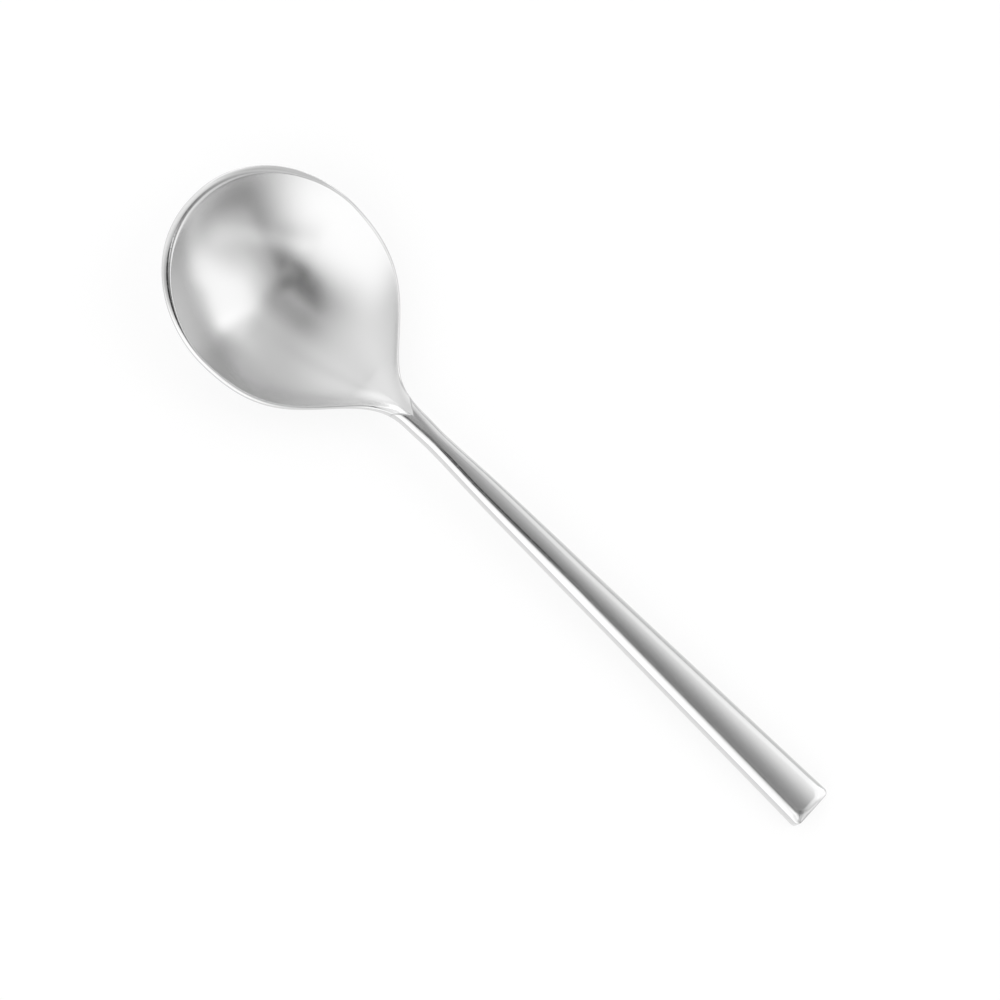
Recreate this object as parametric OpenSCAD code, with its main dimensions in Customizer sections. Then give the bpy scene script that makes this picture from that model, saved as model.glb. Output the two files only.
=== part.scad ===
// Soup spoon with a round drawn bowl and a straight, welded hollow handle.
// Millimetres. The spoon lies at rest: +X runs to the butt, +Y across, +Z up.
// Distances called d run along X from the tip of the bowl.

/* [Overall] */
// Length from the tip of the bowl to the end face of the butt
spoon_l = 180; // [170:1:195]

/* [Bowl] */
// Width across the rim
bowl_w = 47.3; // [43:0.1:50]
// From the tip back to the widest place of the rim
bowl_front_l = 24.6; // [22:0.1:27]
// From the widest place back to where the shoulders have run into the neck
bowl_back_l = 45.1; // [43:0.1:48]
// From the tip back to the deepest place, which touches the table
deepest_l = 28; // [25:0.5:31]
// Height of the rim at the tip
rim_tip_h = 15.6; // [14:0.1:17]
// Height that the line of the rim has come down to at the neck
rim_neck_h = 5; // [4.2:0.1:6]
// Wall of the bowl, measured straight down
bowl_wall = 1.1; // [0.9:0.05:1.4]
// Width of the polished lip on the rim
lip_w = 0.8; // [0.5:0.05:1.1]
// Fall of the lip to its outer edge
lip_drop = 0.3; // [0.15:0.05:0.5]

/* [Neck] */
// Width of the handle where the shoulders end
neck_w = 4.9; // [4.4:0.1:6]
// Height of the handle's upper edge at the neck
neck_top_h = 9.1; // [8.6:0.1:10.4]
// Height of the flat underside at the neck
neck_under_h = 5.4; // [4.6:0.1:5.8]
// Length over which the rim rises into the handle
rise_l = 9; // [6:0.5:12]
// From the end of that rise to where the shoulders end
rise_back_l = 6; // [4:0.5:8]
// From the welded join, at the sides, to where the shoulders end
join_back_l = 7.5; // [6:0.1:9]
// How far the join runs back to its point on the centre line
join_vee_l = 3; // [1.5:0.1:4]
// Length over which the surface follows the slant of the join
join_fade_l = 12; // [8:0.5:16]

/* [Handle] */
// Width of the handle at the butt
butt_w = 10; // [9:0.1:13]
// Height of the handle at the butt, over its crown
butt_h = 4.8; // [4.4:0.1:6]
// Width of the polished edge beside the satin top
edge_w = 1.25; // [0.9:0.05:1.5]
// Fall of the polished edge
edge_drop = 0.9; // [0.6:0.05:1]
// Rise of the satin top over its edges
crown_h = 0.3; // [0.1:0.05:0.5]
// Bevel along the lower edges
under_bevel = 0.7; // [0.4:0.05:0.8]
// Wall of both handle shells
shell_wall = 0.8; // [0.6:0.05:0.9]

/* [Butt cap] */
// Length of the cap that closes the handle
cap_l = 2.2; // [1.8:0.1:4]
// Radius of the cap's upright corners
cap_corner_r = 1.2; // [0.5:0.1:1.7]
// Length of the polished edge across the end
cap_edge_l = 1.2; // [0.6:0.1:1.5]

/* [Welds and filling] */
// Height of the weld along each side seam
seam_h = 0.3; // [0.2:0.05:0.4]
// Length of the weld rings at the neck and at the butt
ring_l = 0.3; // [0.2:0.05:0.5]
// Length of the tang inside the handle, from the join at the sides
tang_l = 28; // [18:1:50]
// Width of the tang
tang_w = 2.4; // [1.6:0.1:2.8]
// Thickness of the tang
tang_h = 1; // [0.7:0.05:1.2]
// Free length between the join and the filling
core_back_l = 5; // [4.5:0.1:8]
// Clearance of the filling in the shells and round the tang
core_fit = 0.05; // [0.03:0.01:0.1]

/* [Hidden] */

// Overrun of a cut past the face that it opens
overrun = 1;
// Half the width of the small flat on the very tip
nose_half_w = 1.6;

// Powers of the rim's outline, in front of its widest place and behind it
front_powers = [1.9, 2.15];
shoulder_powers = [2, 4.5, 6.4];
// Powers of the bowl's sections: across, along its front and along its back
across_power = 2.2;
along_power = 2.2;
back_power = 1.2;
// Power of the bright edge
edge_power = 1.3;

// Places across the satin top or the hollow, as shares of its half width
across_shares = [0.14, 0.28, 0.42, 0.56, 0.7, 0.82, 0.92, 1];

front_steps = 16;
back_steps = 22;
handle_steps = 14;
handle_step_power = 1.8;
corner_steps = 6;

neck_at = bowl_front_l + bowl_back_l;
join_at = neck_at - join_back_l;
rest_at = spoon_l - under_bevel;
cap_at = spoon_l - cap_l;
core_from = join_at + core_back_l;
core_to = cap_at - ring_l;
tang_to = join_at + tang_l;
nose_l = bowl_front_l * (1 - pow(1 - pow(2 * nose_half_w / bowl_w, front_powers[1]), 1 / front_powers[0]));

function smooth(t) = let (c = min(1, max(0, t))) c * c * (3 - 2 * c);
function mix(a, b, t) = a + (b - a) * t;
function flip(list) = [for (i = [len(list) - 1 : -1 : 0]) list[i]];

// Share of the handle's shape in the neck, from 0 on the bowl to 1 on the handle
function rise(d) = smooth(1 - (neck_at - rise_back_l - d) / rise_l);

// Half width of the straight handle, and of the whole outline
function bar_half_w(d) = mix(neck_w, butt_w, (d - neck_at) / (spoon_l - neck_at)) / 2;
function front(t) = pow(1 - pow(t, front_powers[0]), 1 / front_powers[1]);
function shoulder(t) =
    (1 - pow(t, shoulder_powers[0])) * pow(1 - pow(t, shoulder_powers[1]), shoulder_powers[2]);
function half_w(d) =
    d < bowl_front_l
        ? bowl_w / 2 * front((bowl_front_l - max(d, nose_l)) / bowl_front_l)
        : mix(bar_half_w(d), bowl_w / 2, shoulder(min(1, (d - bowl_front_l) / bowl_back_l)));

// Straight lines in the side view: the rim, the handle's upper edge and its underside
function rim_h(d) = mix(rim_tip_h, rim_neck_h, d / neck_at);
function bar_edge_h(d) = mix(neck_top_h, butt_h - crown_h, (d - neck_at) / (spoon_l - neck_at));
function bar_under_h(d) = neck_under_h * (rest_at - d) / (rest_at - neck_at);

// Depth of the hollow under the rim on the centre line; inset is the solid rim left at the tip
function floor_h(d, inset) =
    d < deepest_l
        ? mix(bowl_wall, rim_h(inset), pow((deepest_l - d) / (deepest_l - inset), along_power))
        : mix(bowl_wall, rim_h(join_at),
              pow(sin(90 * min(1, pow((d - deepest_l) / (join_at - deepest_l), back_power))), 2));
function hollow(d, inset) = d < inset ? 0 : max(0, rim_h(d) - floor_h(d, inset));

// Width and fall of the bright edge: the lip of the bowl, growing into the edge of the handle
function bright_w(d) = mix(lip_w, edge_w, rise(d));
function panel_half_w(d) = half_w(d) - bright_w(d);

// Height of the upper surface at d and y
function bowl_top_h(d, y) =
    let (p = panel_half_w(d), a = abs(y))
    rim_h(d) - (a < p ? hollow(d, lip_w) * (1 - pow(a / p, across_power))
                      : lip_drop * pow((a - p) / bright_w(d), edge_power));
function bar_top_h(d, y) =
    let (p = panel_half_w(d), a = abs(y))
    bar_edge_h(d) + (a < p ? crown_h * (1 - pow(a / p, 2))
                           : -edge_drop * pow((a - p) / bright_w(d), edge_power));
function top_h(d, y) = mix(bowl_top_h(d, y), bar_top_h(d, y), rise(d));

// Height of the lower surface at d and y
function bowl_low_h(d, y) =
    rim_h(d) - hollow(d, 0) * (1 - pow(min(1, abs(y) / half_w(d)), across_power)) - bowl_wall;
function bar_low_h(d, y) = bar_under_h(d) + max(0, abs(y) - half_w(d) + under_bevel);
function low_h(d, y) = mix(bowl_low_h(d, y), bar_low_h(d, y), rise(d));

// Height of the side seam
function seam_mid_h(d) = (top_h(d, half_w(d)) + low_h(d, half_w(d))) / 2;

// Surfaces near the join run back towards the centre line, so that the join is a vee in plan
function vee_share(d) = smooth(1 - abs(d - join_at) / join_fade_l);
function slant(d, y, square = false) =
    square ? d : d + join_vee_l * vee_share(d) * (1 - abs(y) / half_w(d));

// Places across a section at d, from -y to +y
function across(d) =
    let (w = half_w(d), p = panel_half_w(d),
         right = concat([for (s = across_shares) s * p], [w - under_bevel * bright_w(d) / edge_w, w]))
    concat([for (y = flip(right)) -y], [0], right);

// Curves over and under a section, as points from -y to +y
function over(d) = [for (y = across(d)) let (x = slant(d, y)) [x, y, top_h(x, y)]];
function under(d) = [for (y = across(d)) let (x = slant(d, y)) [x, y, low_h(x, y)]];

// The same curves drawn in by a wall, towards the seam; square ones lie at d all over
function drawn_in(d, wall, side, square = false) =
    [for (y = across(d))
        let (w = half_w(d), yi = y * (w - wall) / w, x = slant(d, yi, square),
             seam = seam_mid_h(x) + side * seam_h / 2,
             outer = side > 0 ? top_h(x, y) : low_h(x, y),
             middle = side > 0 ? top_h(x, 0) : low_h(x, 0))
        [x, yi, seam + (outer - seam) * (1 - wall / abs(middle - seam))]];

// Ends of a shell's legs at the seam
function leg(d, y, side) = let (x = slant(d, y)) [x, y, seam_mid_h(x) + side * seam_h / 2];
function with_legs(curve, d, y, side) = concat([leg(d, -y, side)], curve, [leg(d, y, side)]);

// Rings of points round a section
function skin_ring(d) = concat(over(d), flip(under(d)));
function inner_ring(d, wall, square = false) =
    concat(drawn_in(d, wall, 1, square), flip(drawn_in(d, wall, -1, square)));
function shell_ring(d, side) =
    let (w = half_w(d),
         outside = with_legs(side > 0 ? over(d) : under(d), d, w, side),
         inside = with_legs(drawn_in(d, shell_wall, side), d, w - shell_wall, side))
    side > 0 ? concat(outside, flip(inside)) : concat(inside, flip(outside));

// Rings round the tang, with a fit on every side
function tang_ring(d, fit, square = true) =
    let (w = half_w(d),
         top = [for (y = across(d))
                   let (yt = y / w * (tang_w / 2 + fit), x = slant(d, yt, square))
                   [x, yt, seam_mid_h(x) + tang_h / 2 + fit]],
         low = [for (p = top) [p[0], p[1], p[2] - tang_h - 2 * fit]])
    concat(top, flip(low));

// Closed solid through rings of equal count; closed joins the last ring to the first
module loft(rings, closed = false) {
    m = len(rings[0]);
    n = m / 2;
    h = (n - 1) / 2;
    last = len(rings) - 1;
    function left(i) = i < h || i >= n + h;
    function quad(a, b, i) =
        let (j = (i + 1) % m)
        left(i) ? [[a + i, b + j, b + i], [a + i, a + j, b + j]]
                : [[a + i, a + j, b + i], [b + i, a + j, b + j]];
    function end_strip(a, i) =
        let (j = m - 1 - i)
        i < h ? [[a + i, a + i + 1, a + j - 1], [a + i, a + j - 1, a + j]]
              : [[a + i, a + i + 1, a + j], [a + i + 1, a + j - 1, a + j]];
    sides = [for (k = [0 : closed ? last : last - 1]) for (i = [0 : m - 1])
                each quad(k * m, (k + 1) % (last + 1) * m, i)];
    first_end = closed ? [] : [for (i = [0 : n - 2]) for (f = end_strip(0, i)) flip(f)];
    last_end = closed ? [] : [for (i = [0 : n - 2]) each end_strip(last * m, i)];
    polyhedron([for (r = rings) each r], concat(sides, first_end, last_end));
}

// Sets a piece that is drawn from the tip of the bowl about the middle of the spoon
module centred() {
    translate([-spoon_l / 2, 0, 0]) children();
}

// Drawn and coined bowl with its rim, neck and tang, in one piece
module bowl() {
    front = [for (k = [0 : front_steps]) bowl_front_l * (1 - cos(90 * k / front_steps))];
    back = [for (k = [1 : back_steps]) mix(bowl_front_l, join_at, k / back_steps)];
    color("silver") centred()
        loft([for (d = concat(front, back)) skin_ring(d),
              tang_ring(join_at, 0, square = false),
              tang_ring(tang_to, 0)]);
}

// Stations along the handle, closer together at the neck
function handle_stations() =
    [for (k = [0 : handle_steps])
        mix(join_at + ring_l, core_to, pow(k / handle_steps, handle_step_power))];

module handle_shell(side) {
    centred() loft([for (d = handle_stations()) shell_ring(d, side)]);
}

module handle_upper_shell() {
    color("lightgray") handle_shell(1);
}

module handle_lower_shell() {
    color("darkgray") handle_shell(-1);
}

// Weld along one side seam, as deep as the wall; hand is -1 on the left and 1 on the right
module seam_weld(hand) {
    centred() loft([for (d = handle_stations())
        let (outside = hand * half_w(d), inside = hand * (half_w(d) - shell_wall),
             low = hand > 0 ? inside : outside, high = hand > 0 ? outside : inside)
        [leg(d, low, 1), leg(d, high, 1), leg(d, high, -1), leg(d, low, -1)]]);
}

module seam_weld_left() {
    color("gainsboro") seam_weld(-1);
}

module seam_weld_right() {
    color("gainsboro") seam_weld(1);
}

// Ring of weld between two stations, as deep as the wall
module weld_ring(from, to) {
    centred()
        loft([skin_ring(from), skin_ring(to), inner_ring(to, shell_wall), inner_ring(from, shell_wall)],
             closed = true);
}

module neck_weld() {
    color("gainsboro") weld_ring(join_at, join_at + ring_l);
}

module butt_weld() {
    color("gainsboro") weld_ring(core_to, cap_at);
}

// Light filling that beds the tang; its pocket is the tang with the clearance
module handle_core() {
    wall = shell_wall + core_fit;
    stations = [for (k = [0 : handle_steps]) mix(core_from, core_to, k / handle_steps)];
    color("tan") centred()
        loft([tang_ring(tang_to + core_fit, core_fit),
              tang_ring(core_from, core_fit),
              for (d = stations) inner_ring(d, wall, square = true)]);
}

// Outline of the handle at the cap, as [y, z]
cap_outline = [for (p = skin_ring(cap_at)) [p[1], p[2]]];

// Plan of the cap, with the upright corners rounded and an overrun past the handle's own faces
module cap_plan() {
    side = half_w(cap_at) + overrun;
    corner_at = spoon_l - cap_corner_r;
    corner = [for (k = [0 : corner_steps])
                 let (a = 90 * k / corner_steps)
                 [corner_at + cap_corner_r * sin(a), half_w(cap_at) - cap_corner_r * (1 - cos(a))]];
    half = concat([[cap_at - overrun, side], [corner_at, side]], corner);
    polygon(concat(half, [for (p = flip(half)) [p[0], -p[1]]]));
}

// Side profile of the cap: a bevel under its end and the polished edge over it
module cap_side() {
    top = top_h(cap_at, 0);
    low = low_h(cap_at, 0);
    polygon([[cap_at - overrun, low], [spoon_l - under_bevel, low], [spoon_l, low + under_bevel],
             [spoon_l, top - edge_drop], [spoon_l - cap_edge_l / 2, top - edge_drop / 3],
             [spoon_l - cap_edge_l, top], [cap_at - overrun, top]]);
}

// Cap that closes the handle: the handle's own section, rounded in plan and bevelled at the end
module butt_cap() {
    side = half_w(cap_at) + overrun;
    color("whitesmoke") centred()
        intersection() {
            translate([cap_at, 0, 0])
                rotate([90, 0, 90])
                    linear_extrude(cap_l) polygon(cap_outline);
            translate([0, 0, -overrun])
                linear_extrude(butt_h + 2 * overrun) cap_plan();
            translate([0, side, 0])
                rotate([90, 0, 0])
                    linear_extrude(2 * side) cap_side();
        }
}

bowl();
neck_weld();
handle_upper_shell();
handle_lower_shell();
seam_weld_left();
seam_weld_right();
handle_core();
butt_weld();
butt_cap();
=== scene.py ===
import numpy as np
import bpy
from mathutils import Matrix


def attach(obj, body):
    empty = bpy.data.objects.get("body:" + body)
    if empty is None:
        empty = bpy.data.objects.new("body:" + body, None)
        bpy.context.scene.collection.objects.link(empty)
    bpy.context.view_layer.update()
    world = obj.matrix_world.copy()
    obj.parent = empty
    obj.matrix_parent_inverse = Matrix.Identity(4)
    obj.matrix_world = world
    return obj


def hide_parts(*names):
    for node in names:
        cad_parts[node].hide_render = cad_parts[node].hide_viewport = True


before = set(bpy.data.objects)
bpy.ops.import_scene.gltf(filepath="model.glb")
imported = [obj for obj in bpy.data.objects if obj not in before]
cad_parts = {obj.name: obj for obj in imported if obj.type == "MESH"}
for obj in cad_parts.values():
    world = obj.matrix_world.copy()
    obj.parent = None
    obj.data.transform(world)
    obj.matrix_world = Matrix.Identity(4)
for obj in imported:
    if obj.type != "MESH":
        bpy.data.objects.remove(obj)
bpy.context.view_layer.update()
print("frame loaded:", len(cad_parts), "nodes")

mm = 0.001

# Camera: tilt is from straight above, roll turns the spoon in the picture, side is the way the camera leans
camera = {
    "tilt": 16.0, "roll": 42.5, "side": -45.0,
    "target": (-1.52, 1.03, 5.0), "distance": 800.0, "clipStart": 10.0,
    "focalPixels": 3862.0, "imagePixels": 1000.0, "sensor": 36.0,
}


def makeCamera(view):
    # pictureRight = (cos roll, sin roll), pictureUp = (-sin roll, cos roll), both in the plane of the table
    # back = (pictureRight sin side - pictureUp cos side) sin tilt + Z cos tilt
    tilt, roll, side = np.radians([view["tilt"], view["roll"], view["side"]])
    pictureRight = np.array([np.cos(roll), np.sin(roll), 0])
    pictureUp = np.array([-np.sin(roll), np.cos(roll), 0])
    lean = pictureRight * np.sin(side) - pictureUp * np.cos(side)
    back = lean * np.sin(tilt) + np.array([0, 0, np.cos(tilt)])
    up = pictureUp - (pictureUp @ back) * back
    up /= np.linalg.norm(up)
    right = np.cross(up, back)
    place = (np.array(view["target"]) + view["distance"] * back) * mm
    data = bpy.data.cameras.new("camera")
    data.sensor_width = view["sensor"]
    data.lens = view["focalPixels"] / view["imagePixels"] * view["sensor"]
    data.clip_start = view["clipStart"] * mm
    obj = bpy.data.objects.new("camera", data)
    rows = [(*row, t) for row, t in zip(np.stack([right, up, back], 1), place)]
    obj.matrix_world = Matrix(rows + [(0, 0, 0, 1)])
    bpy.context.scene.collection.objects.link(obj)
    bpy.context.scene.camera = obj


makeCamera(camera)
bpy.context.scene.view_settings.view_transform = "Standard"

# Sizes in millimetres. d runs from the tip of the bowl to the butt, y across, z up
spoon = {"length": 180.0, "neckAt": 69.7, "joinAt": 60.0, "restAt": 179.3}
rim = {
    "width": 47.3, "frontLength": 24.6, "backLength": 45.1, "blendLength": 8.0,
    "tipHeight": 15.6, "neckHeight": 5.0,
    "frontPowers": (1.9, 2.15), "shoulderPowers": (2.0, 4.5, 6.4), "insidePowers": (1.8, 2.05),
    "lipWidth": 0.75, "lipDrop": 0.48, "lipBend": 0.6, "crease": 0.1, "lipRound": 0.2, "underRound": 0.12,
    "tipLipWidth": 1.9, "tipLipDrop": 0.6, "tipCrease": 0.25, "tipFade": 9.0, "tipPinch": 0.02,
}
hollow = {
    "deepestAt": 28.0, "endsAt": 62.2, "wall": 1.1,
    "acrossPower": 2.2, "alongPower": 2.2, "backPower": 1.2,
}
neck = {
    "width": 4.9, "waist": 0.3, "waistAt": 71.0, "waistBefore": 4.0, "waistBehind": 11.0,
    "topHeight": 9.1, "underHeight": 5.4, "riseLength": 9.0, "riseBack": 6.0,
    "climbStart": 51.0, "climbEase": 0.7, "settleShare": 0.05, "settleLength": 3.5,
    "veeLength": 3.4, "fadeLength": 12.0, "weldLength": 0.3, "grooveDepth": 0.04,
}
tang = {"width": 2.4, "thickness": 1.0, "length": 28.0}
handle = {
    "buttWidth": 10.0, "buttHeight": 4.8, "wall": 0.8, "seamHeight": 0.3,
    "neckEdgeWidth": 0.85, "edgeWidth": 1.4, "edgeStart": 82.0, "edgeFull": 112.0,
    "edgeSlope": 0.34, "bevelBlend": 0.7, "edgeRound": 0.3,
    "neckCrown": 0.09, "crown": 0.3, "joinCrown": 0.05, "joinCrownAt": 62.0, "joinCrownLength": 12.0,
    "underBevel": 0.6, "underRound": 0.11, "underCrease": 0.1,
    "shineWidth": 0.85, "shineFrom": 69.0, "shineFull": 75.0, "shineFades": 103.0, "shineGone": 121.0,
}
cap = {"length": 2.2, "cornerRound": 1.2, "edgeLength": 1.2, "panelRound": 2.2, "endGap": 0.0005}

# Satin ends a margin beyond its panel's edge, blends into polish there, and lies above topShare of the height
satinEdge = {
    "bowlMargin": 0.25, "handleMargin": 0.06, "changeAt": 50.0, "changeLength": 10.0,
    "blendFrom": -0.04, "blendTo": 0.06, "polished": -1.0, "topShare": 0.7,
}

# Least values, for places where a width or a slope runs out, and how far the edge's curves are followed
least = {"halfWidth": 0.05, "edgeWidth": 0.1, "slope": 0.02, "panelShare": 0.6}
edgeSpan = (-4.0, 1.2)

# Mesh fineness. The handle's stations crowd towards the join, and edges over sharpAngle degrees stay sharp
bowlSteps = {"front": 120, "back": 190, "panel": 44, "bright": 14, "tang": 3}
handleSteps = {"along": 120, "crowding": 1.6, "panel": 30, "bright": 14, "ring": 9}
capSteps = {"along": 70, "panel": 40, "bright": 18}
sharpAngle = 40.0


def mix(a, b, t):
    return a + (b - a) * t


def smooth(t):
    # 3 t^2 - 2 t^3 between 0 and 1
    c = np.clip(t, 0, 1)
    return c * c * (3 - 2 * c)


def softMin(a, b, k):
    # the lower of two heights, rounded over about k where they cross
    return (a + b - np.sqrt((a - b) ** 2 + k * k)) / 2


def rise(d):
    # share of the handle's shape: 0 on the bowl, 1 on the handle
    return smooth(1 - (spoon["neckAt"] - neck["riseBack"] - d) / neck["riseLength"])


def handleShare(d):
    # 0 at the neck, 1 at the butt
    return (d - spoon["neckAt"]) / (spoon["length"] - spoon["neckAt"])


def unslanted(d, y):
    # the station whose slanted line passes through a point: slanted() undone by repetition
    repeats = 8
    station = d
    for _ in range(repeats):
        fade = smooth(1 - np.abs(station - spoon["joinAt"]) / neck["fadeLength"])
        station = d - neck["veeLength"] * fade * (1 - np.minimum(np.abs(y) / halfWidth(d), 1))
    return station


def climb(d, y):
    # share of the handle's top: it climbs from the bowl straight up to the vee and settles behind it
    station = unslanted(d, y)
    start, ease, left = neck["climbStart"], neck["climbEase"], neck["settleShare"]
    t = np.clip((station - start) / (spoon["joinAt"] - start), 0, 1)
    before = (1 - left) * np.where(t < ease, t * t / (2 * ease), t - ease / 2) / (1 - ease / 2)
    behind = 1 - left * np.exp(-np.maximum(station - spoon["joinAt"], 0) / neck["settleLength"])
    return np.where(station < spoon["joinAt"], before, behind)


def barHalfWidth(d):
    # straight sides, drawn in by a waist: a bell curve that is longer behind the neck than before it
    half = mix(neck["width"], handle["buttWidth"], handleShare(d)) / 2
    reach = np.where(d < neck["waistAt"], neck["waistBefore"], neck["waistBehind"])
    return half - neck["waist"] * np.exp(-((d - neck["waistAt"]) / reach) ** 2)


def frontArc(t, powers):
    # a quarter of a superellipse: (1 - t^a)^(1/b)
    a, b = powers
    return (1 - np.clip(t, 0, 1) ** a) ** (1 / b)


def halfWidth(d):
    # front: a superellipse; back: the handle's width plus shoulders (1 - t^2)(1 - t^4.5)^6.4
    front = rim["width"] / 2 * frontArc((rim["frontLength"] - d) / rim["frontLength"], rim["frontPowers"])
    t = np.clip((d - rim["frontLength"]) / rim["backLength"], 0, 1)
    a, b, c = rim["shoulderPowers"]
    back = mix(barHalfWidth(d), rim["width"] / 2, (1 - t ** a) * (1 - t ** b) ** c)
    return np.where(d < rim["frontLength"], front, back)


def brightWidth(d):
    # the polished edge: the lip on the bowl, and on the handle a bevel that widens from the neck
    bevel = mix(handle["neckEdgeWidth"], handle["edgeWidth"],
                np.clip((d - handle["edgeStart"]) / (handle["edgeFull"] - handle["edgeStart"]), 0, 1))
    return mix(rim["lipWidth"], bevel, rise(d))


def panelHalfWidth(d):
    # the satin part of the width: in front its own superellipse, behind it the width less the bright edge
    along = (rim["frontLength"] - d) / (rim["frontLength"] - rim["tipLipWidth"])
    front = (rim["width"] / 2 - rim["lipWidth"]) * frontArc(along, rim["insidePowers"])
    return np.where(d < rim["frontLength"], front, halfWidth(d) - brightWidth(d))


def roundedMin(side, end, r):
    # the smaller of two distances, with the corner between the two edges rounded by r
    x, y = r - side, r - end
    return np.where((x > 0) & (y > 0), r - np.hypot(x, y), np.minimum(side, end))


def edgeDistances(d, a):
    # about how far a point lies inside the outline, and inside the satin part, in millimetres
    step = 0.01
    sideways = np.sqrt(1 + ((halfWidth(d + step) - halfWidth(d - step)) / (2 * step)) ** 2)
    outer = (halfWidth(d) - a) / sideways
    inner = (panelHalfWidth(d) - a) / sideways

    def inFront(tipInset, sideInset, powers):
        # the superellipse's level, along^p + aside^q, against its slope
        p, q = powers
        long = rim["frontLength"] - tipInset
        wide = rim["width"] / 2 - sideInset
        along = np.clip(rim["frontLength"] - d, 0, None) / long
        aside = a / wide
        level = along ** p + aside ** q
        slope = np.sqrt((p * along ** (p - 1) / long) ** 2 + (q * aside ** (q - 1) / wide) ** 2)
        return (1 - level) / np.maximum(slope, least["slope"])

    blend = smooth((d - rim["frontLength"] + rim["blendLength"] / 2) / rim["blendLength"])
    outer = mix(inFront(0.0, 0.0, rim["frontPowers"]), outer, blend)
    inner = mix(inFront(rim["tipLipWidth"], rim["lipWidth"], rim["insidePowers"]), inner, blend)
    outer = roundedMin(outer, spoon["length"] - d, cap["cornerRound"])
    return outer, roundedMin(inner, spoon["length"] - cap["edgeLength"] - d, cap["panelRound"])


def rimHeight(d):
    return mix(rim["tipHeight"], rim["neckHeight"], d / spoon["neckAt"])


def barEdgeHeight(d):
    return mix(neck["topHeight"], handle["buttHeight"] - handle["crown"], handleShare(d))


def barUnderHeight(d):
    return neck["underHeight"] * (spoon["restAt"] - d) / (spoon["restAt"] - spoon["neckAt"])


def hollowDepth(d, inset):
    # depth under the rim on the centre line: a power curve up to the tip, a squared sine up to the neck
    deepest = hollow["deepestAt"]
    t = np.clip((deepest - d) / (deepest - inset), 0, None)
    front = mix(hollow["wall"], rimHeight(inset), t ** hollow["alongPower"])
    s = np.clip((d - deepest) / (hollow["endsAt"] - deepest), 0, 1)
    back = mix(hollow["wall"], rimHeight(hollow["endsAt"]), np.sin(np.pi / 2 * s ** hollow["backPower"]) ** 2)
    return np.maximum(0, rimHeight(d) - np.where(d < deepest, front, back))


def cornerRound(distance, radius):
    # fall of a quarter circle over the last radius before an edge
    x = np.clip(radius - distance, 0, radius)
    return radius - np.sqrt(radius ** 2 - x ** 2)


def shineReach(d):
    # how far the polish of the bevel runs in over the satin top: furthest a little behind the neck
    grow = smooth((d - handle["shineFrom"]) / (handle["shineFull"] - handle["shineFrom"]))
    fall = 1 - smooth((d - handle["shineFades"]) / (handle["shineGone"] - handle["shineFades"]))
    return handle["shineWidth"] * grow * fall


def crownHeight(d):
    # the crown grows with the handle's width, and is a little higher at the join
    atJoin = 1 - smooth((d - handle["joinCrownAt"]) / handle["joinCrownLength"])
    return mix(handle["neckCrown"], handle["crown"], handleShare(d)) + handle["joinCrown"] * atJoin


def topHeight(d, y):
    # u runs over the bright edge, from 0 at the satin panel's edge to 1 at the outline
    # bowl: rim - depth (1 - (a/p)^2.2), cut off by the lip
    # lip: rim - drop x a mix of u and u^2, which is all u^2 at the tip
    # handle: edge + crown (1 - (a/p)^2), less the bevel's slope x run x bend^2
    a = np.abs(y)
    outer, inner = edgeDistances(d, a)
    p = np.maximum(panelHalfWidth(d), least["halfWidth"])
    u = np.clip(-inner / np.maximum(outer - inner, least["edgeWidth"]), *edgeSpan)
    tip = 1 - smooth(d / rim["tipFade"])
    drop = mix(rim["lipDrop"], rim["tipLipDrop"], tip)
    depth = hollowDepth(d, rim["tipLipWidth"])
    wall = rimHeight(d) - depth * (1 - np.minimum(a / p, 1) ** hollow["acrossPower"])
    wall = wall + np.clip(-inner, 0, None)
    lip = rimHeight(d) - drop * mix(u, np.sign(u) * u ** 2, mix(rim["lipBend"], 1, tip))
    crease = mix(rim["crease"], rim["tipCrease"], tip)
    bowlTop = softMin(wall, lip, crease) - cornerRound(outer, rim["lipRound"])
    panel = barEdgeHeight(d) + crownHeight(d) * (1 - (a / p) ** 2)
    run = brightWidth(d) + handle["bevelBlend"]
    bend = np.clip(u * brightWidth(d) + handle["bevelBlend"], 0, None) / run
    barTop = panel - handle["edgeSlope"] * run * bend ** 2 - cornerRound(outer, handle["edgeRound"])
    return mix(bowlTop, barTop, climb(d, y))


def lowHeight(d, y):
    # bowl: the hollow's own curve, one wall lower; handle: flat with bevelled sides
    a = np.abs(y)
    outer, _ = edgeDistances(d, a)
    w = np.maximum(halfWidth(d), least["halfWidth"])
    depth = hollowDepth(d, 0.0) * (1 - np.clip(a / w, 0, 1) ** hollow["acrossPower"])
    bowlLow = rimHeight(d) - depth - hollow["wall"] + cornerRound(outer, rim["underRound"])
    bevel = -softMin(0 * a, outer - handle["underBevel"], handle["underCrease"])
    barLow = barUnderHeight(d) + bevel + cornerRound(outer, handle["underRound"])
    return mix(bowlLow, barLow, rise(d))


def seamHeight(d):
    w = halfWidth(d)
    return (topHeight(d, w) + lowHeight(d, w)) / 2


def slanted(d, y):
    # near the join the sections run back towards the centre line, so that the join is a vee in plan
    fade = smooth(1 - np.abs(d - spoon["joinAt"]) / neck["fadeLength"])
    return d + neck["veeLength"] * fade * (1 - np.abs(y) / halfWidth(d))


def acrossShares(steps):
    # places from the centre line to the outline: 0 to 1 over the satin part, 1 to 2 over the bright edge
    panel = np.sin(np.linspace(0, np.pi / 2, steps["panel"] + 1))
    bright = 1.5 - np.cos(np.linspace(0, np.pi, steps["bright"] + 1)) / 2
    half = np.concatenate([panel, bright[1:]])
    return np.concatenate([-half[:0:-1], half])


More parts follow.
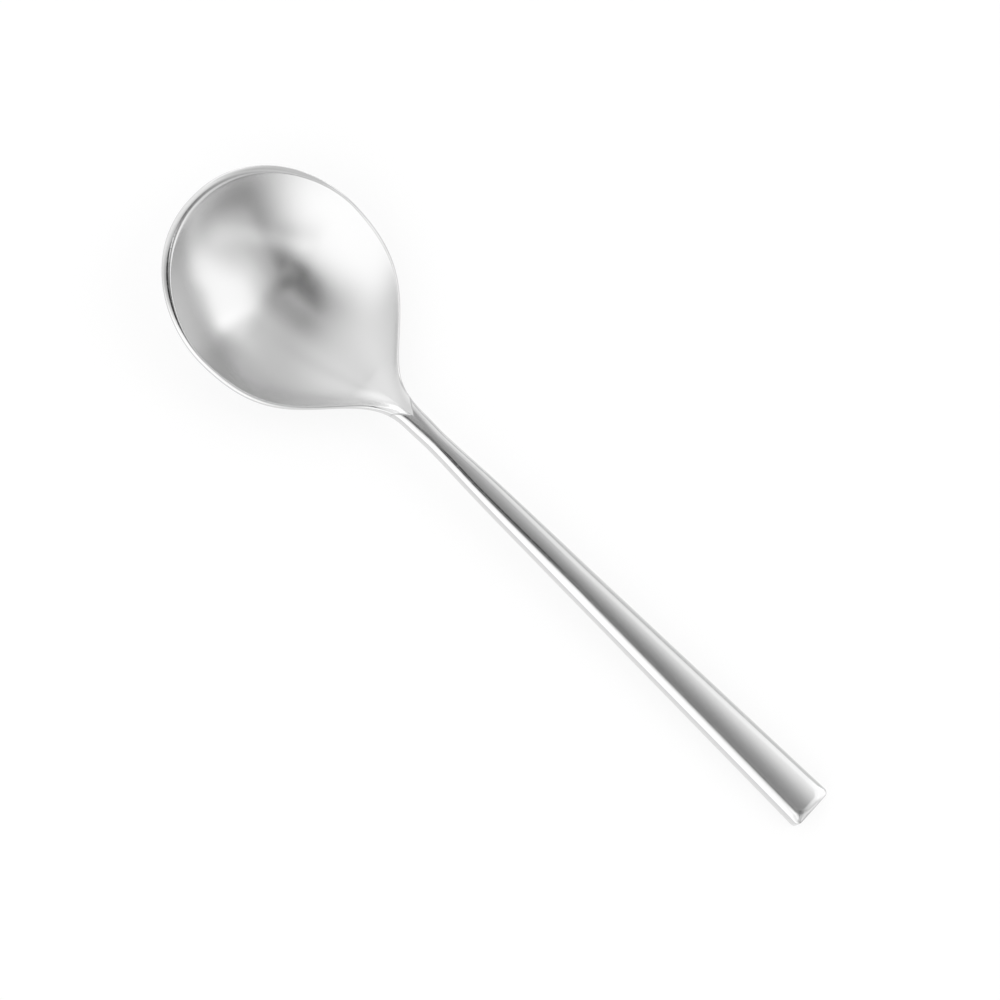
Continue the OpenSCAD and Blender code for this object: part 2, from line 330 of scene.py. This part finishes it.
def acrossPlaces(d, shares):
    # grid of y: rows for the stations, columns for the shares
    w = halfWidth(d)[:, None]
    p = np.maximum(panelHalfWidth(d)[:, None], least["panelShare"] * w)
    s = np.abs(shares)[None, :]
    return np.sign(shares)[None, :] * np.where(s <= 1, s * p, p + (s - 1) * (w - p))


def skin(x, y):
    # points over and under the same places
    over = np.stack([x, y, topHeight(x, y)], -1)
    under = np.stack([x, y, lowHeight(x, y)], -1)
    return over, under


def skinLines(d, shares):
    # lines across the spoon from -y to +y, over the top and underneath
    y = acrossPlaces(d, shares)
    return skin(slanted(np.broadcast_to(d[:, None], y.shape), y), y)


def closeRings(over, under):
    # rings round the spoon: over the top from -y to +y, then back underneath
    return np.concatenate([over, under[:, ::-1]], 1)


def loftFaces(rows, m, ends):
    # quads between neighbouring rings, and strips across both ends
    i = np.arange(m)
    j = (i + 1) % m
    first = np.arange(rows - 1)[:, None] * m
    sides = np.stack([first + i, first + m + i, first + m + j, first + j], -1).reshape(-1, 4)[:, ::-1]
    if not ends:
        back = (rows - 1) * m
        closing = np.stack([back + i, i, j, back + j], -1)[:, ::-1]
        return np.concatenate([sides, closing])
    k = np.arange(m // 2 - 1)
    strip = np.stack([k, k + 1, m - 2 - k, m - 1 - k], -1)
    return np.concatenate([sides, strip[:, ::-1], strip + (rows - 1) * m])


def facingUp(points):
    # true in the upper part of the section, where the satin part may lie
    d, y, z = points.T
    return z > topHeight(d, y) * satinEdge["topShare"] + lowHeight(d, y) * (1 - satinEdge["topShare"])


def satinDistances(points):
    # how far each point lies inside the satin part, below 0 where the steel is polished
    d, y, _ = points.T
    _, inner = edgeDistances(d, np.abs(y))
    onHandle = smooth((d - satinEdge["changeAt"]) / satinEdge["changeLength"])
    margin = mix(satinEdge["bowlMargin"], satinEdge["handleMargin"], onHandle)
    return np.where(facingUp(points), inner + margin - shineReach(d), satinEdge["polished"])


def makePiece(name, rings, nodes, ends=True):
    # rings: stations x points x 3, in millimetres, d measured from the tip of the bowl
    rows, m, _ = rings.shape
    points = rings.reshape(-1, 3)
    faces = loftFaces(rows, m, ends)
    place = (points - np.array([spoon["length"] / 2, 0, 0])) * mm
    mesh = bpy.data.meshes.new(name)
    mesh.vertices.add(len(place))
    mesh.vertices.foreach_set("co", place.astype(np.float32).ravel())
    mesh.loops.add(faces.size)
    mesh.loops.foreach_set("vertex_index", faces.ravel().astype(np.int32))
    mesh.polygons.add(len(faces))
    mesh.polygons.foreach_set("loop_start", np.arange(0, faces.size, faces.shape[1], dtype=np.int32))
    mesh.update(calc_edges=True)
    layer = mesh.attributes.new("satinDistance", "FLOAT", "POINT")
    layer.data.foreach_set("value", satinDistances(points).astype(np.float32))
    mesh.polygons.foreach_set("use_smooth", np.ones(len(faces), bool))
    mesh.set_sharp_from_angle(angle=np.radians(sharpAngle))
    mesh.validate()
    obj = bpy.data.objects.new(name, mesh)
    bpy.context.scene.collection.objects.link(obj)
    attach(obj, "root")
    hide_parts(*nodes)
    return obj


def makeBowl():
    t = np.linspace(0, np.pi / 2, bowlSteps["front"] + 1)[1:]
    front = rim["frontLength"] * (1 - np.cos(t))
    back = np.linspace(rim["frontLength"], spoon["joinAt"], bowlSteps["back"] + 1)[1:]
    over, under = skinLines(np.concatenate([front, back]), acrossShares(bowlSteps))
    body = closeRings(over, under)
    # the tip is one short edge, one lip thick
    tip = body[:1].copy()
    tip[..., 0] = 0
    tip[..., 1] *= rim["tipPinch"]
    join = body[-1]
    y = join[:, 1] / halfWidth(np.array(spoon["joinAt"])) * tang["width"] / 2
    side = np.where(np.arange(len(y)) < len(y) // 2, 1, -1)
    rings = [tip[0], *body]
    for share in np.linspace(0, 1, bowlSteps["tang"]):
        x = mix(slanted(np.full(len(y), spoon["joinAt"]), y), spoon["joinAt"] + tang["length"], share)
        rings.append(np.stack([x, y, seamHeight(x) + side * tang["thickness"] / 2], -1))
    return makePiece("soupBowl", np.stack(rings), ["bowl"])


def drawnIn(curve, wall, side):
    # the same curve drawn in by a wall, towards the middle of the section
    x, y, z = curve[..., 0], curve[..., 1], curve[..., 2]
    w = halfWidth(x)
    seam = seamHeight(x)
    middle = topHeight(x, 0 * y) if side > 0 else lowHeight(x, 0 * y)
    inner = seam + (z - seam) * (1 - wall / np.abs(middle - seam))
    return np.stack([x, y * (w - wall) / w, inner], -1)


def handleStations():
    start = spoon["joinAt"] + neck["weldLength"]
    end = spoon["length"] - cap["length"] - neck["weldLength"]
    return mix(start, end, np.linspace(0, 1, handleSteps["along"] + 1) ** handleSteps["crowding"])


def shellRings(d, shares, side):
    over, under = skinLines(d, shares)
    outside = over if side > 0 else under
    inside = drawnIn(outside, handle["wall"], side)

    def withLegs(curve, inset):
        # down the side to the seam
        ends = []
        for column in (0, -1):
            x = curve[:, column, 0]
            y = np.sign(curve[:, column, 1]) * (halfWidth(x) - inset)
            ends.append(np.stack([x, y, seamHeight(x) + side * handle["seamHeight"] / 2], -1)[:, None])
        return np.concatenate([ends[0], curve, ends[1]], 1)

    outside = withLegs(outside, 0)
    inside = withLegs(inside, handle["wall"])
    first, second = (outside, inside) if side > 0 else (inside, outside)
    return np.concatenate([first, second[:, ::-1]], 1)


def makeShells():
    d = handleStations()
    shares = acrossShares(handleSteps)
    upper = makePiece("handleTop", shellRings(d, shares, 1), ["handle_upper_shell"])
    lower = makePiece("handleBack", shellRings(d, shares, -1), ["handle_lower_shell"])
    return upper, lower


def makeSeams():
    d = handleStations()
    w = halfWidth(d)
    inside = w - handle["wall"]
    half = handle["seamHeight"] / 2
    made = []
    for name, node, low, high in (("seamLeft", "seam_weld_left", -w, -inside),
                                  ("seamRight", "seam_weld_right", inside, w)):
        rings = np.stack([np.stack([slanted(d, y), y, seamHeight(slanted(d, y)) + s * half], -1)
                          for y, s in ((low, 1), (high, 1), (high, -1), (low, -1))], 1)
        made.append(makePiece(name, rings, [node]))
    return made


def makeWeldRing(name, node, start, depth):
    # a shallow groove: depth sin(pi t) over the length of the ring
    t = np.linspace(0, 1, handleSteps["ring"])
    d = mix(start, start + neck["weldLength"], t)
    over, under = skinLines(d, acrossShares(handleSteps))
    sink = depth * np.sin(np.pi * t)[:, None]
    for curve, way in ((over, -1), (under, 1)):
        curve[..., 2] += way * sink
        curve[..., 1] *= 1 - sink / halfWidth(d)[:, None]
    outside = closeRings(over, under)
    inside = closeRings(drawnIn(over, handle["wall"], 1), drawnIn(under, handle["wall"], -1))
    rings = np.concatenate([outside, inside[::-1]])
    return makePiece(name, rings, [node], ends=False)


def makeCap():
    # stations crowd towards the end, where the corners turn, and stop a hair short of it
    t = np.linspace(0, np.pi / 2, capSteps["along"] + 1)
    d = mix(spoon["length"] - cap["length"], spoon["length"] - cap["endGap"], np.sin(t))
    # the outline's upright corners are rounded too
    loss = cornerRound(spoon["length"] - d, cap["cornerRound"])
    y = acrossPlaces(d, acrossShares(capSteps)) * (1 - loss / halfWidth(d))[:, None]
    over, under = skin(np.broadcast_to(d[:, None], y.shape), y)
    return makePiece("buttCap", closeRings(over, under), ["butt_cap"])


bowlPiece = makeBowl()
print("bowl made")
topPiece, backPiece = makeShells()
seamPieces = makeSeams()
neckRing = makeWeldRing("neckWeld", "neck_weld", spoon["joinAt"], neck["grooveDepth"])
buttRing = makeWeldRing("buttWeld", "butt_weld", spoon["length"] - cap["length"] - neck["weldLength"], 0.0)
capPiece = makeCap()
print("handle, welds and cap made")

# Places of the two values and of the result on a Mix node, for each kind of value
mixPlaces = {"FLOAT": (2, 3, 0), "RGBA": (6, 7, 2)}


def addNode(tree, kind, **values):
    node = tree.nodes.new(kind)
    for key, value in values.items():
        if key == "inputs":
            for name, content in value.items():
                node.inputs[name].default_value = content
        else:
            setattr(node, key, value)
    return node


def fill(tree, socket, value):
    # a socket takes a link from another node, or a plain value
    if isinstance(value, bpy.types.NodeSocket):
        tree.links.new(value, socket)
    else:
        socket.default_value = value


def mathNode(tree, operation, *values):
    node = addNode(tree, "ShaderNodeMath", operation=operation)
    for socket, value in zip(node.inputs, values):
        fill(tree, socket, value)
    return node.outputs[0]


def mixNode(tree, kind, factor, first, second):
    node = addNode(tree, "ShaderNodeMix", data_type=kind)
    firstPlace, secondPlace, resultPlace = mixPlaces[kind]
    fill(tree, node.inputs["Factor"], factor)
    fill(tree, node.inputs[firstPlace], first)
    fill(tree, node.inputs[secondPlace], second)
    return node.outputs[resultPlace]


def addBump(tree, shader, height, look):
    bump = addNode(tree, "ShaderNodeBump", inputs={"Strength": look["bump"]})
    fill(tree, bump.inputs["Distance"], look["bumpHeight"] * mm)
    fill(tree, bump.inputs["Height"], height)
    fill(tree, shader.inputs["Normal"], bump.outputs[0])


def makeGrainGroup():
    # the grain of a brushed finish: noise squeezed across the brushing, and a slow cloudiness
    group = bpy.data.node_groups.new("satinGrain", "ShaderNodeTree")
    for name in ("Along", "Across", "Cloud"):
        group.interface.new_socket(name, in_out="INPUT", socket_type="NodeSocketFloat")
    for name in ("Grain", "Cloudiness"):
        group.interface.new_socket(name, in_out="OUTPUT", socket_type="NodeSocketFloat")
    inputs = addNode(group, "NodeGroupInput")
    outputs = addNode(group, "NodeGroupOutput")
    place = addNode(group, "ShaderNodeTexCoord")
    parts = addNode(group, "ShaderNodeSeparateXYZ")
    group.links.new(place.outputs["Object"], parts.inputs[0])
    squeezed = addNode(group, "ShaderNodeCombineXYZ")
    for axis, way in (("X", "Along"), ("Y", "Across"), ("Z", "Across")):
        size = mathNode(group, "MULTIPLY", parts.outputs[axis], inputs.outputs[way])
        fill(group, squeezed.inputs[axis], size)
    fine = addNode(group, "ShaderNodeTexNoise", inputs={"Scale": 1.0, "Detail": 3.0, "Roughness": 0.6})
    group.links.new(squeezed.outputs[0], fine.inputs["Vector"])
    cloud = addNode(group, "ShaderNodeTexNoise", inputs={"Detail": 3.0, "Roughness": 0.55})
    group.links.new(place.outputs["Object"], cloud.inputs["Vector"])
    group.links.new(inputs.outputs["Cloud"], cloud.inputs["Scale"])
    group.links.new(fine.outputs["Fac"], outputs.inputs["Grain"])
    group.links.new(cloud.outputs["Fac"], outputs.inputs["Cloudiness"])
    return group


def makeMarksGroup():
    # marks of use on polished metal: sparse hair scratches from the thin bands of two distorted waves
    group = bpy.data.node_groups.new("useMarks", "ShaderNodeTree")
    for name, value in (("Scale", 160.0), ("Thinness", 0.985)):
        group.interface.new_socket(name, in_out="INPUT", socket_type="NodeSocketFloat").default_value = value
    group.interface.new_socket("Marks", in_out="OUTPUT", socket_type="NodeSocketFloat")
    inputs = addNode(group, "NodeGroupInput")
    outputs = addNode(group, "NodeGroupOutput")
    place = addNode(group, "ShaderNodeTexCoord")
    found = []
    for turn in (0.4, 1.9):
        turned = addNode(group, "ShaderNodeMapping", inputs={"Rotation": (0.1, 0.2, turn)})
        group.links.new(place.outputs["Object"], turned.inputs["Vector"])
        wave = addNode(group, "ShaderNodeTexWave",
                       inputs={"Distortion": 9.0, "Detail": 2.0, "Detail Scale": 1.3})
        group.links.new(turned.outputs[0], wave.inputs["Vector"])
        group.links.new(inputs.outputs["Scale"], wave.inputs["Scale"])
        found.append(mathNode(group, "GREATER_THAN", wave.outputs["Fac"], inputs.outputs["Thinness"]))
    group.links.new(mathNode(group, "MAXIMUM", *found), outputs.inputs["Marks"])
    return group


grainGroup = makeGrainGroup()
marksGroup = makeMarksGroup()


def steelMaterial(name, look):
    # one steel with two finishes: satinDistance is above 0 on the satin part and below 0 on the polished part
    material = bpy.data.materials.new(name)
    material.use_nodes = True
    tree = material.node_tree
    tree.nodes.clear()
    out = addNode(tree, "ShaderNodeOutputMaterial")
    steel = addNode(tree, "ShaderNodeBsdfPrincipled", inputs={"Metallic": 1.0})
    tree.links.new(steel.outputs[0], out.inputs[0])
    grain = addNode(tree, "ShaderNodeGroup", node_tree=grainGroup,
                    inputs={"Along": look["along"], "Across": look["across"], "Cloud": look["cloud"]})
    marks = addNode(tree, "ShaderNodeGroup", node_tree=marksGroup)
    distance = addNode(tree, "ShaderNodeAttribute", attribute_name="satinDistance")
    satin = addNode(tree, "ShaderNodeMapRange", interpolation_type="SMOOTHSTEP",
                    inputs={"From Min": satinEdge["blendFrom"], "From Max": satinEdge["blendTo"]})
    tree.links.new(distance.outputs["Fac"], satin.inputs["Value"])
    satinMask = satin.outputs["Result"]
    # roughness: satin with grain and cloudiness, polished with marks of use
    rough = mathNode(tree, "MULTIPLY_ADD", grain.outputs["Grain"], look["grainRough"], look["satinRough"])
    rough = mathNode(tree, "MULTIPLY_ADD", grain.outputs["Cloudiness"], look["cloudRough"], rough)
    shiny = mathNode(tree, "MULTIPLY_ADD", marks.outputs["Marks"], look["markRough"], look["polishRough"])
    fill(tree, steel.inputs["Roughness"], mixNode(tree, "FLOAT", satinMask, shiny, rough))
    # colour: the satin part is a little darker in its grooves
    shade = mathNode(tree, "MULTIPLY_ADD", grain.outputs["Grain"], look["grainTone"], 1 - look["grainTone"])
    shade = mathNode(tree, "MAXIMUM", shade, mathNode(tree, "SUBTRACT", 1.0, satinMask))
    tone = mixNode(tree, "RGBA", shade, (*look["dark"], 1), (*look["light"], 1))
    fill(tree, steel.inputs["Base Color"], tone)
    addBump(tree, steel, mathNode(tree, "MULTIPLY", grain.outputs["Grain"], satinMask), look)
    return material


bowlLook = {
    "light": (0.68, 0.68, 0.68), "dark": (0.55, 0.55, 0.55), "grainTone": 0.3,
    "along": 2500.0, "across": 9000.0, "cloud": 60.0, "bump": 0.25, "bumpHeight": 0.02,
    "satinRough": 0.18, "grainRough": 0.06, "cloudRough": 0.06, "polishRough": 0.09, "markRough": 0.1,
}
handleLook = dict(bowlLook, along=250.0, satinRough=0.14)
weldLook = dict(bowlLook, light=(0.55, 0.55, 0.55), dark=(0.4, 0.4, 0.4), along=4000.0, across=4000.0)

bowlPiece.data.materials.append(steelMaterial("bowlSteel", bowlLook))
handleSteel = steelMaterial("handleSteel", handleLook)
for piece in (topPiece, backPiece, capPiece, buttRing, *seamPieces):
    piece.data.materials.append(handleSteel)
neckRing.data.materials.append(steelMaterial("weldSteel", weldLook))

fillingLook = {
    "dark": (0.3, 0.28, 0.24), "light": (0.5, 0.48, 0.43), "grainScale": 900.0, "grainDetail": 4.0,
    "rough": 0.85, "bump": 0.4, "bumpHeight": 0.1,
}


def fillingMaterial(look):
    # cast filling: matt, grainy and slightly uneven in colour
    material = bpy.data.materials.new("castFilling")
    material.use_nodes = True
    tree = material.node_tree
    shader = tree.nodes["Principled BSDF"]
    place = addNode(tree, "ShaderNodeTexCoord")
    noise = addNode(tree, "ShaderNodeTexNoise",
                    inputs={"Scale": look["grainScale"], "Detail": look["grainDetail"]})
    tree.links.new(place.outputs["Object"], noise.inputs["Vector"])
    tone = mixNode(tree, "RGBA", noise.outputs["Fac"], (*look["dark"], 1), (*look["light"], 1))
    fill(tree, shader.inputs["Base Color"], tone)
    fill(tree, shader.inputs["Roughness"], look["rough"])
    addBump(tree, shader, noise.outputs["Fac"], look)
    return material


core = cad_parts["handle_core"]
core.data.materials.clear()
core.data.materials.append(fillingMaterial(fillingLook))
print("finishes made")

# Boxes: soft-edged panels in the sky. Angle is the compass angle, wide and high are half the size, in degrees
# The first ten come from a least-squares fit to brightness sampled from the photo, and were rounded,
# apart from the ninth one's height and high, which were set one by one as the last four were
boxes = [
    {"angle": -75.6, "height": 13.4, "turn": -67.7, "wide": 56.8, "high": 41.8, "soft": 45.0, "power": 1.2},
    {"angle": 39.5, "height": 32.8, "turn": -34.1, "wide": 38.6, "high": 35.1, "soft": 4.6, "power": 0.35},
    {"angle": 179.3, "height": 8.6, "turn": 9.2, "wide": 42.8, "high": 65.4, "soft": 44.9, "power": 0.83},
    {"angle": 84.3, "height": 22.9, "turn": -17.3, "wide": 52.7, "high": 39.9, "soft": 31.3, "power": 0.78},
    {"angle": -78.8, "height": 82.9, "turn": 100.7, "wide": 12.9, "high": 8.3, "soft": 6.4, "power": -1.98},
    {"angle": 107.9, "height": 29.7, "turn": -12.0, "wide": 27.1, "high": 24.7, "soft": 10.3, "power": -1.99},
    {"angle": -57.1, "height": 85.1, "turn": 90.7, "wide": 12.4, "high": 5.6, "soft": 9.3, "power": 2.1},
    {"angle": -10.9, "height": 41.0, "turn": -37.9, "wide": 41.2, "high": 5.7, "soft": 4.2, "power": 0.38},
    {"angle": 107.6, "height": 28.6, "turn": -13.0, "wide": 28.5, "high": 25.7, "soft": 10.3, "power": 1.65},
    {"angle": -51.6, "height": 55.6, "turn": -178.4, "wide": 16.0, "high": 20.2, "soft": 12.0, "power": -0.29},
    {"angle": 0.0, "height": 85.2, "turn": 0.0, "wide": 5.8, "high": 2.6, "soft": 2.0, "power": -1.5},
    {"angle": 71.0, "height": 6.5, "turn": 0.0, "wide": 18.5, "high": 6.5, "soft": 5.0, "power": -0.5},
    {"angle": 116.0, "height": 0.0, "turn": 0.0, "wide": 23.0, "high": 6.0, "soft": 8.0, "power": 1.6},
    {"angle": 130.0, "height": 72.0, "turn": 0.0, "wide": 5.0, "high": 5.0, "soft": 5.0, "power": -0.35},
]

# Studio: the strength of the sky behind the boxes, and the table, whose sizes are in millimetres
studio = {
    "horizon": 0.358, "zenith": 0.317, "darkest": 0.03, "boxes": boxes,
    "floorTone": (0.95, 0.95, 0.95), "floorGlow": 1.04, "floorShare": 0.75,
    "floorHalf": 2000.0, "floorDrop": 0.02,
}


def makeSky(look):
    # strength = horizon to zenith + sum of power x box, never under darkest. A shade has a power below zero
    # box = edge(|u|, wide) edge(|v|, high), with u and v the angles from the box's middle along its sides
    world = bpy.data.worlds.new("studio")
    bpy.context.scene.world = world
    world.use_nodes = True
    tree = world.node_tree
    tree.nodes.clear()
    place = addNode(tree, "ShaderNodeTexCoord")
    direction = place.outputs["Generated"]
    parts = addNode(tree, "ShaderNodeSeparateXYZ")
    tree.links.new(direction, parts.inputs[0])

    def along(axis):
        dot = addNode(tree, "ShaderNodeVectorMath", operation="DOT_PRODUCT")
        dot.inputs[1].default_value = tuple(axis)
        tree.links.new(direction, dot.inputs[0])
        return dot.outputs["Value"]

    def softBox(box):
        angle, height, turn = np.radians([box["angle"], box["height"], box["turn"]])
        middle = np.array([np.cos(height) * np.cos(angle), np.cos(height) * np.sin(angle), np.sin(height)])
        side = np.array([-np.sin(angle), np.cos(angle), 0])
        first = side * np.cos(turn) + np.cross(middle, side) * np.sin(turn)
        ahead = along(middle)
        masks = []
        for axis, reach in ((first, box["wide"]), (np.cross(middle, first), box["high"])):
            turned = mathNode(tree, "ARCTAN2", mathNode(tree, "ABSOLUTE", along(axis)), ahead)
            ends, starts = np.radians([reach + box["soft"] / 2, reach - box["soft"] / 2])
            edge = addNode(tree, "ShaderNodeMapRange", interpolation_type="SMOOTHSTEP",
                           inputs={"From Min": ends, "From Max": starts})
            tree.links.new(turned, edge.inputs["Value"])
            masks.append(edge.outputs["Result"])
        return mathNode(tree, "MULTIPLY", *masks)

    height = mathNode(tree, "MAXIMUM", parts.outputs["Z"], 0.0)
    total = mathNode(tree, "MULTIPLY_ADD", height, look["zenith"] - look["horizon"], look["horizon"])
    for box in look["boxes"]:
        total = mathNode(tree, "MULTIPLY_ADD", softBox(box), box["power"], total)
    total = mathNode(tree, "MAXIMUM", total, look["darkest"])
    background = addNode(tree, "ShaderNodeBackground", inputs={"Color": (1, 1, 1, 1)})
    tree.links.new(total, background.inputs["Strength"])
    out = addNode(tree, "ShaderNodeOutputWorld")
    tree.links.new(background.outputs[0], out.inputs[0])


def makeFloor(look):
    # a white table: plain paper for the light, and mostly an even glow for the camera and for reflections
    half = look["floorHalf"] * mm
    drop = look["floorDrop"] * mm
    mesh = bpy.data.meshes.new("table")
    corners = [(-half, -half, -drop), (half, -half, -drop), (half, half, -drop), (-half, half, -drop)]
    mesh.from_pydata(corners, [], [(0, 1, 2, 3)])
    floor = bpy.data.objects.new("table", mesh)
    bpy.context.scene.collection.objects.link(floor)
    material = bpy.data.materials.new("whiteTable")
    material.use_nodes = True
    tree = material.node_tree
    tree.nodes.clear()
    paper = addNode(tree, "ShaderNodeBsdfDiffuse", inputs={"Color": (*look["floorTone"], 1)})
    glow = addNode(tree, "ShaderNodeEmission", inputs={"Strength": look["floorGlow"]})
    rays = addNode(tree, "ShaderNodeLightPath")
    seen = mathNode(tree, "MAXIMUM", rays.outputs["Is Camera Ray"], rays.outputs["Is Glossy Ray"])
    seen = mathNode(tree, "MAXIMUM", seen, rays.outputs["Is Transmission Ray"])
    both = addNode(tree, "ShaderNodeMixShader")
    tree.links.new(mathNode(tree, "MULTIPLY", seen, look["floorShare"]), both.inputs["Fac"])
    tree.links.new(paper.outputs[0], both.inputs[1])
    tree.links.new(glow.outputs[0], both.inputs[2])
    out = addNode(tree, "ShaderNodeOutputMaterial")
    tree.links.new(both.outputs[0], out.inputs[0])
    mesh.materials.append(material)


makeSky(studio)
makeFloor(studio)
print("studio made")
